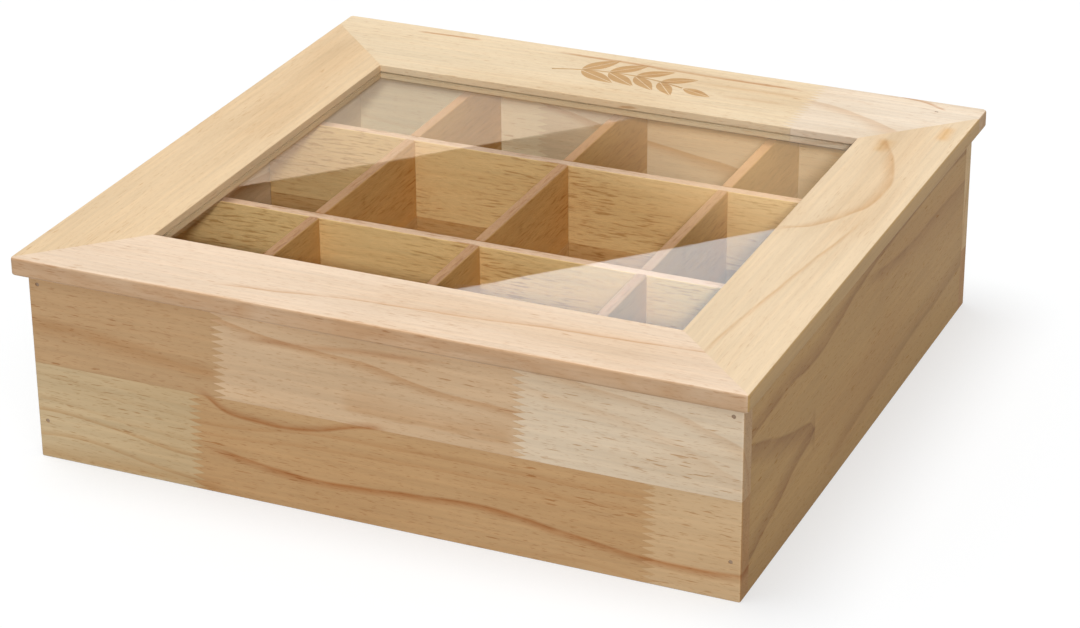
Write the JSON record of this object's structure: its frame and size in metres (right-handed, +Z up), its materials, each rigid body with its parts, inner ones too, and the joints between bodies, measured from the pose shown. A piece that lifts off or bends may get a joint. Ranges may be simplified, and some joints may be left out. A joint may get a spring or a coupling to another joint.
{
  "type": "wooden tea box",
  "caption": "Pale wooden box with a grid of compartments for tea bags under a hinged lid, whose mitred frame holds a clear pane.",
  "frame": {"origin": "on the surface the box stands on, under the middle of the closed box", "axes": "+X to the right along the front, +Y from the front to the hinges at the back, +Z up"},
  "size_m": [0.335, 0.325, 0.0978],
  "materials": {
    "box_wood": "satin clear-coated rubberwood, finger-jointed staves",
    "lid_wood": "satin clear-coated rubberwood",
    "divider_wood": "smooth rubberwood",
    "floor_wood": "smooth plywood",
    "clear_pane": "clear, glossy",
    "hinge_brass": "polished, stamped",
    "screw_brass": "polished",
    "nail_steel": "dull"
  },
  "bodies": {
    "box": {"front_board": "box_wood", "back_board": "box_wood", "left_board": "box_wood", "right_board": "box_wood", "bottom_panel": "floor_wood", "long_divider_1": "divider_wood", "long_divider_2": "divider_wood", "long_divider_3": "divider_wood", "cross_divider_1": "divider_wood", "cross_divider_2": "divider_wood", "hinge_left_body_leaf": "hinge_brass", "hinge_right_body_leaf": "hinge_brass", "hinge_left_pin": "hinge_brass", "hinge_right_pin": "hinge_brass", "hinge_left_body_screw_1": "screw_brass", "hinge_left_body_screw_2": "screw_brass", "hinge_right_body_screw_1": "screw_brass", "hinge_right_body_screw_2": "screw_brass", "nail_front_1": "nail_steel", "nail_front_2": "nail_steel", "nail_front_3": "nail_steel", "nail_front_4": "nail_steel", "nail_back_1": "nail_steel", "nail_back_2": "nail_steel", "nail_back_3": "nail_steel", "nail_back_4": "nail_steel"},
    "lid": {"lid_rail_front": "lid_wood", "lid_rail_back": "lid_wood", "lid_rail_left": "lid_wood", "lid_rail_right": "lid_wood", "pane": "clear_pane", "hinge_left_lid_leaf": "hinge_brass", "hinge_right_lid_leaf": "hinge_brass", "hinge_left_lid_screw_1": "screw_brass", "hinge_left_lid_screw_2": "screw_brass", "hinge_right_lid_screw_1": "screw_brass", "hinge_right_lid_screw_2": "screw_brass"}
  },
  "joints": [
    {"name": "lid_hinge", "type": "hinge", "parent": "box", "child": "lid", "pos_m": [0, 0.1545, 0.0874], "axis": [-1, 0, 0], "range_deg": [0, 110]}
  ]
}
